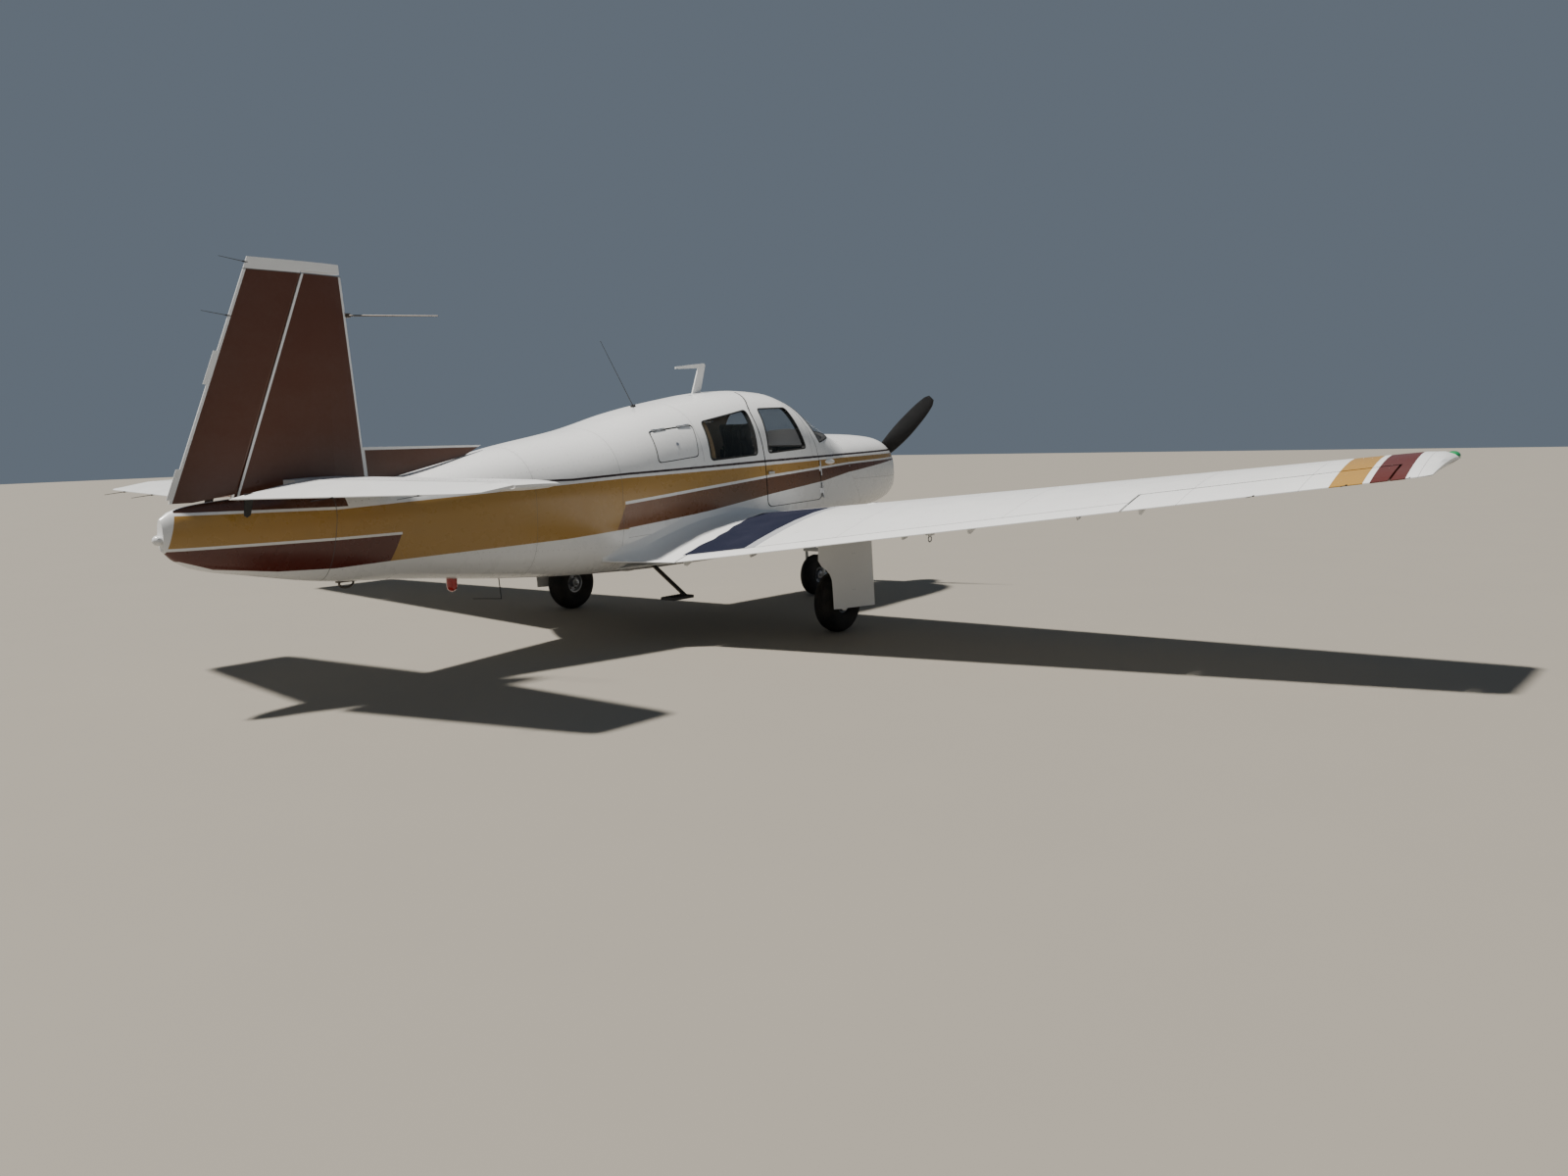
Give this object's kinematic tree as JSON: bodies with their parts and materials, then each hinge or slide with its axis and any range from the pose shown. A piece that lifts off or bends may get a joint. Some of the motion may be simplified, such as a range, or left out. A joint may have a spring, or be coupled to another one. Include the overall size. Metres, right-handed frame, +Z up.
{
  "type": "light aircraft",
  "caption": "Low-wing four-seat light aircraft on a retractable nose-wheel undercarriage, with turning propeller and wheels, working control surfaces and opening doors.",
  "frame": {"origin": "on the ground under the middle of the aircraft's length and width", "axes": "+X to the nose, +Y to the left wing tip, +Z up"},
  "size_m": [7.06, 10.67, 2.47],
  "materials": {
    "white_paint": "gloss paint over aluminium sheet",
    "brown_paint": "gloss paint over aluminium sheet",
    "engine_iron": "cast block",
    "gear_steel": "gloss painted steel",
    "exhaust_steel": "heat-stained",
    "blade_paint": "matte black paint",
    "wheel_alloy": "cast alloy",
    "bare_alloy": "satin",
    "tyre_rubber": "matte",
    "clear_glass": "clear",
    "seat_leather": "grained",
    "panel_plastic": "matte",
    "aerial_plastic": "gloss",
    "beacon_red": "clear red"
  },
  "bodies": {
    "airframe": {"cabin_shell": "white_paint", "windshield": "clear_glass", "window_front_left": "clear_glass", "window_rear_left": "clear_glass", "window_rear_right": "clear_glass", "firewall": "bare_alloy", "cowling": "white_paint", "engine": "engine_iron", "exhaust_pipe": "exhaust_steel", "tail_cone": "white_paint", "tail_section": "white_paint", "fin": "brown_paint", "stabilizer": "white_paint", "wing": "white_paint", "nose_leg": "gear_steel", "nose_door_right": "white_paint", "nose_door_left": "white_paint", "main_leg_right": "gear_steel", "leg_door_right": "white_paint", "main_leg_left": "gear_steel", "leg_door_left": "white_paint", "instrument_panel": "panel_plastic", "seat_right": "seat_leather", "yoke_right": "panel_plastic", "seat_left": "seat_leather", "yoke_left": "panel_plastic", "rear_bench": "seat_leather", "boarding_step": "bare_alloy", "comm_aerial": "aerial_plastic", "roof_whip": "panel_plastic", "belly_aerial": "panel_plastic", "beacon": "beacon_red", "tail_light": "clear_glass", "nav_aerial": "bare_alloy", "wing_fairing_right": "white_paint", "wing_fairing_left": "white_paint"},
    "propeller_group": {"propeller": "blade_paint", "spinner": "white_paint"},
    "steering_fork": {"nose_fork": "gear_steel"},
    "nose_wheel_group": {"tyre_nose": "tyre_rubber", "wheel_nose": "wheel_alloy"},
    "left_wheel_group": {"tyre_left": "tyre_rubber", "wheel_left": "wheel_alloy"},
    "right_wheel_group": {"tyre_right": "tyre_rubber", "wheel_right": "wheel_alloy"},
    "left_flap": {"flap_left": "white_paint"},
    "right_flap": {"flap_right": "white_paint"},
    "left_aileron": {"aileron_left": "white_paint"},
    "right_aileron": {"aileron_right": "white_paint"},
    "left_elevator": {"elevator_left": "white_paint"},
    "right_elevator": {"elevator_right": "white_paint"},
    "rudder_group": {"rudder": "brown_paint"},
    "door_group": {"cabin_door": "white_paint", "window_door": "clear_glass", "door_handle": "bare_alloy"},
    "baggage_hatch": {"baggage_door": "white_paint"}
  },
  "joints": [
    {"name": "propeller_spin", "type": "hinge", "parent": "airframe", "child": "propeller_group", "pos_m": [3.27, 0, 1.1], "axis": [1, 0, 0], "continuous": true},
    {"name": "nose_steer", "type": "hinge", "parent": "airframe", "child": "steering_fork", "pos_m": [2.372, 0, 0.415], "axis": [-0.2041, 0, 0.979], "range_deg": [-13, 11]},
    {"name": "nose_wheel_spin", "type": "hinge", "parent": "steering_fork", "child": "nose_wheel_group", "pos_m": [2.397, 0, 0.18], "axis": [0, 1, 0], "continuous": true},
    {"name": "left_wheel_spin", "type": "hinge", "parent": "airframe", "child": "left_wheel_group", "pos_m": [0.72, 1.38, 0.222], "axis": [0, 1, 0], "continuous": true},
    {"name": "right_wheel_spin", "type": "hinge", "parent": "airframe", "child": "right_wheel_group", "pos_m": [0.72, -1.38, 0.222], "axis": [0, 1, 0], "continuous": true},
    {"name": "left_flap_hinge", "type": "hinge", "parent": "airframe", "child": "left_flap", "pos_m": [-0.08098, 0.83, 0.57158], "axis": [-0.1278, -0.9842, -0.1221], "range_deg": [0, 33]},
    {"name": "right_flap_hinge", "type": "hinge", "parent": "airframe", "child": "right_flap", "pos_m": [-0.08098, -0.83, 0.57158], "axis": [0.1278, -0.9842, 0.1221], "range_deg": [0, 33]},
    {"name": "left_aileron_hinge", "type": "hinge", "parent": "airframe", "child": "left_aileron", "pos_m": [0.31075, 3.806, 0.9931], "axis": [-0.1373, -0.9834, -0.1189], "range_deg": [-11, 11]},
    {"name": "right_aileron_hinge", "type": "hinge", "parent": "airframe", "child": "right_aileron", "pos_m": [0.31075, -3.806, 0.9931], "axis": [0.1373, -0.9834, 0.1189], "range_deg": [-11, 11]},
    {"name": "left_elevator_hinge", "type": "hinge", "parent": "airframe", "child": "left_elevator", "pos_m": [-2.72304, 0.178, 1.212], "axis": [-0.0391, -0.9992, 0], "range_deg": [-30, 16]},
    {"name": "right_elevator_hinge", "type": "hinge", "parent": "airframe", "child": "right_elevator", "pos_m": [-2.72304, -0.178, 1.212], "axis": [0.0391, -0.9992, 0], "range_deg": [-30, 16]},
    {"name": "rudder_hinge", "type": "hinge", "parent": "airframe", "child": "rudder_group", "pos_m": [-3.08, 0, 1.18], "axis": [0.3701, 0, 0.929], "range_deg": [-23.5, 23.5]},
    {"name": "door_hinge", "type": "hinge", "parent": "airframe", "child": "door_group", "pos_m": [1.713, -0.5895, 0.898], "axis": [-0.0899, 0.0531, 0.9945], "range_deg": [0, 80]},
    {"name": "baggage_hinge", "type": "hinge", "parent": "airframe", "child": "baggage_hatch", "pos_m": [0.256, -0.44262, 1.523], "axis": [-0.9894, 0.1027, -0.1024], "range_deg": [0, 85]}
  ],
  "couplings": [
    {"joint": "right_flap_hinge", "follows": "left_flap_hinge", "ratio": 1},
    {"joint": "right_aileron_hinge", "follows": "left_aileron_hinge", "ratio": -1},
    {"joint": "right_elevator_hinge", "follows": "left_elevator_hinge", "ratio": 1}
  ]
}
